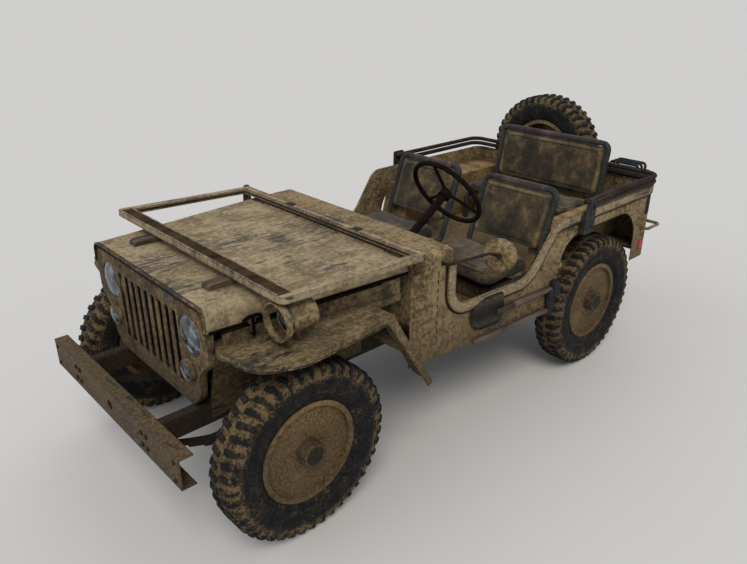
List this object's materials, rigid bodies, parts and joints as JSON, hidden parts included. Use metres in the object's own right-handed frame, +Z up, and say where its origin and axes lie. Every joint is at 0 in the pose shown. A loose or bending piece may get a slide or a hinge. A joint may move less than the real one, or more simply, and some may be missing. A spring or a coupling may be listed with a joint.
{
  "type": "army 4x4 car",
  "caption": "Open light 4x4 army car with folded windshield, nine-slot grille, cut-down sides, tube seats, folded top bows and a spare wheel at the rear.",
  "frame": {"origin": "on the ground, under the middle of the whole car's box", "axes": "+X forward, +Y to the car's left, +Z up"},
  "size_m": [3.281, 1.533, 1.369],
  "materials": {
    "body_paint": "matt, dusty",
    "frame_paint": "matt, dirty",
    "wheel_paint": "matt",
    "tube_paint": "satin",
    "lamp_paint": "matt",
    "can_paint": "worn",
    "engine_iron": "dirty",
    "radiator_core": "dark",
    "tyre_rubber": "muddy",
    "rim_plastic": "worn",
    "canvas": "dusty canvas",
    "tool_wood": "worn"
  },
  "bodies": {
    "chassis": {"frame": "frame_paint", "cross_members": "frame_paint", "front_bumper": "frame_paint", "rear_bumpers": "frame_paint", "front_axle": "frame_paint", "rear_axle": "frame_paint", "leaf_springs": "frame_paint", "transmission": "frame_paint", "exhaust": "frame_paint", "fuel_tank": "frame_paint", "grille": "body_paint", "cowl": "body_paint", "tub": "body_paint", "floor": "body_paint", "wheel_wells": "body_paint", "fender_left": "body_paint", "fender_right": "body_paint", "windshield_hinges": "body_paint", "bow_brackets": "body_paint", "mirror": "body_paint", "rear_carriers": "body_paint", "lamps": "lamp_paint", "seat_frames": "tube_paint", "controls": "tube_paint", "steering_column": "tube_paint", "grab_handles": "tube_paint", "spare_tyre": "tyre_rubber", "spare_wheel": "wheel_paint", "engine_block": "engine_iron", "radiator": "radiator_core", "seat_pads": "canvas", "bench_pads": "canvas", "hand_tools": "tool_wood", "jerrycan": "can_paint"},
    "knuckle_left": {"knuckle_left": "frame_paint"},
    "knuckle_right": {"knuckle_right": "frame_paint"},
    "tie_rod": {"tie_rod": "frame_paint"},
    "steering_wheel": {"steering_wheel": "rim_plastic"},
    "front_left_wheel": {"tyre_front_left": "tyre_rubber", "wheel_front_left": "wheel_paint"},
    "front_right_wheel": {"tyre_front_right": "tyre_rubber", "wheel_front_right": "wheel_paint"},
    "rear_left_wheel": {"tyre_rear_left": "tyre_rubber", "wheel_rear_left": "wheel_paint"},
    "rear_right_wheel": {"tyre_rear_right": "tyre_rubber", "wheel_rear_right": "wheel_paint"},
    "windshield": {"windshield": "body_paint"},
    "hood": {"hood": "body_paint", "hood_fittings": "body_paint"},
    "bow_front": {"bow_front": "tube_paint"},
    "bow_rear": {"bow_rear": "tube_paint"}
  },
  "joints": [
    {"name": "steer_left", "type": "hinge", "parent": "chassis", "child": "knuckle_left", "pos_m": [1.1425, 0.5, 0.382], "axis": [0, 0, 1], "range_deg": [-25, 25]},
    {"name": "steer_right", "type": "hinge", "parent": "chassis", "child": "knuckle_right", "pos_m": [1.1425, -0.5, 0.382], "axis": [0, 0, 1], "range_deg": [-25, 25]},
    {"name": "tie_rod_swing", "type": "hinge", "parent": "knuckle_left", "child": "tie_rod", "pos_m": [1.2725, 0.5, 0.4], "axis": [0, 0, 1], "range_deg": [-25, 25]},
    {"name": "steering_wheel_turn", "type": "hinge", "parent": "chassis", "child": "steering_wheel", "pos_m": [0.0215, 0.34, 1.131], "axis": [-0.8387, 0, 0.5446], "range_deg": [-300, 300]},
    {"name": "spin_front_left", "type": "hinge", "parent": "knuckle_left", "child": "front_left_wheel", "pos_m": [1.1425, 0.6225, 0.382], "axis": [0, 1, 0], "continuous": true},
    {"name": "spin_front_right", "type": "hinge", "parent": "knuckle_right", "child": "front_right_wheel", "pos_m": [1.1425, -0.6225, 0.382], "axis": [0, 1, 0], "continuous": true},
    {"name": "spin_rear_left", "type": "hinge", "parent": "chassis", "child": "rear_left_wheel", "pos_m": [-0.8895, 0.6225, 0.382], "axis": [0, 1, 0], "continuous": true},
    {"name": "spin_rear_right", "type": "hinge", "parent": "chassis", "child": "rear_right_wheel", "pos_m": [-0.8895, -0.6225, 0.382], "axis": [0, 1, 0], "continuous": true},
    {"name": "windshield_fold", "type": "hinge", "parent": "chassis", "child": "windshield", "pos_m": [0.5025, 0, 1.028], "axis": [0, -1, 0], "range_deg": [0, 95]},
    {"name": "hood_lift", "type": "hinge", "parent": "chassis", "child": "hood", "pos_m": [0.5408, 0, 0.999], "axis": [0, -1, 0], "range_deg": [0, 47.5]},
    {"name": "bow_front_swing", "type": "hinge", "parent": "chassis", "child": "bow_front", "pos_m": [-0.6625, 0, 1.022], "axis": [0, 1, 0], "range_deg": [0, 100]},
    {"name": "bow_rear_swing", "type": "hinge", "parent": "chassis", "child": "bow_rear", "pos_m": [-0.7125, 0, 0.99], "axis": [0, 1, 0], "range_deg": [0, 55]}
  ],
  "couplings": [
    {"joint": "steer_right", "follows": "steer_left", "ratio": 1},
    {"joint": "tie_rod_swing", "follows": "steer_left", "ratio": -1},
    {"joint": "steering_wheel_turn", "follows": "steer_left", "ratio": 12},
    {"joint": "hood_lift", "follows": "windshield_fold", "ratio": 0.5},
    {"joint": "bow_rear_swing", "follows": "bow_front_swing", "ratio": 0.55}
  ]
}
